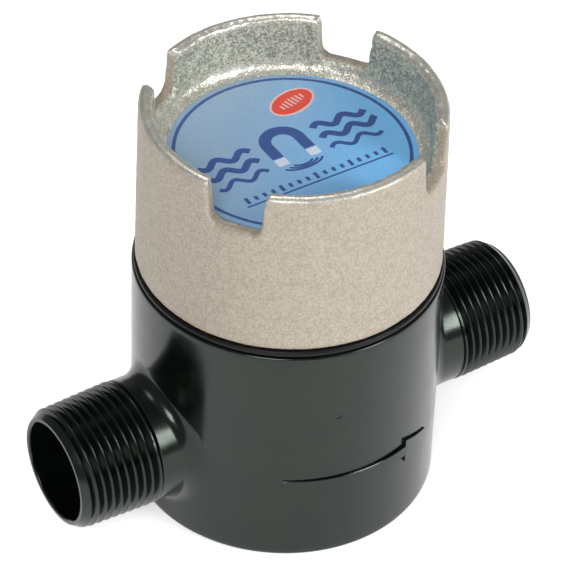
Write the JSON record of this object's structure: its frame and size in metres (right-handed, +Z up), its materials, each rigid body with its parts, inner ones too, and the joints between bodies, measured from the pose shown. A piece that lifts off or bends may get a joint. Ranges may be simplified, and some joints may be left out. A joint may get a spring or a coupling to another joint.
{
  "type": "magnetic system filter",
  "caption": "In-line magnetic system filter: round housing with opposed threaded pipe stubs, a castellated screw cap, and a magnet cartridge hung under the cap.",
  "frame": {"origin": "centre of the housing's flat base", "axes": "+Z up along the cap and cartridge axis, +X along the pipe axis from inlet to outlet, +Y away from the side with the flow arrow"},
  "size_m": [0.1104, 0.0645, 0.0934],
  "materials": {
    "housing_black": "moulded black plastic, semi-gloss",
    "cap_cast": "as-cast, fine mottled grey-beige, matt outside and rough inside",
    "label_print": null,
    "seal_rubber": "smooth moulded rubber",
    "stainless": "drawn stainless steel",
    "plug_acetal": "turned natural acetal",
    "magnet_nickel": "nickel plated sintered magnet",
    "pole_steel": "zinc plated mild steel",
    "spring_steel": "oiled spring steel"
  },
  "bodies": {
    "housing": {"housing": "housing_black", "cap_gasket": "seal_rubber"},
    "cartridge": {"cartridge_tube": "stainless", "foot_plug": "plug_acetal", "foot_plug_seal": "seal_rubber", "head_plug": "plug_acetal", "head_plug_seal": "seal_rubber", "swivel_circlip": "spring_steel", "tie_rod": "stainless", "pole_disc_1": "pole_steel", "ring_magnet_1": "magnet_nickel", "pole_disc_2": "pole_steel", "ring_magnet_2": "magnet_nickel", "pole_disc_3": "pole_steel", "ring_magnet_3": "magnet_nickel", "pole_disc_4": "pole_steel", "ring_magnet_4": "magnet_nickel", "pole_disc_5": "pole_steel", "stack_spring": "spring_steel"},
    "cap": {"crown_cap": "cap_cast", "label_disc": "label_print", "swivel_hanger": "stainless", "hanger_lock_nut": "stainless"}
  },
  "joints": [
    {"name": "cap_lift", "type": "slide", "parent": "housing", "child": "cartridge", "axis": [0, 0, 1], "range_m": [0, 0.0106]},
    {"name": "cap_turn", "type": "hinge", "parent": "cartridge", "child": "cap", "pos_m": [0, 0, 0.061], "axis": [0, 0, 1], "range_deg": [0, 1260]}
  ],
  "couplings": [
    {"joint": "cap_lift", "follows": "cap_turn", "m_per_rad": 0.00047746}
  ]
}
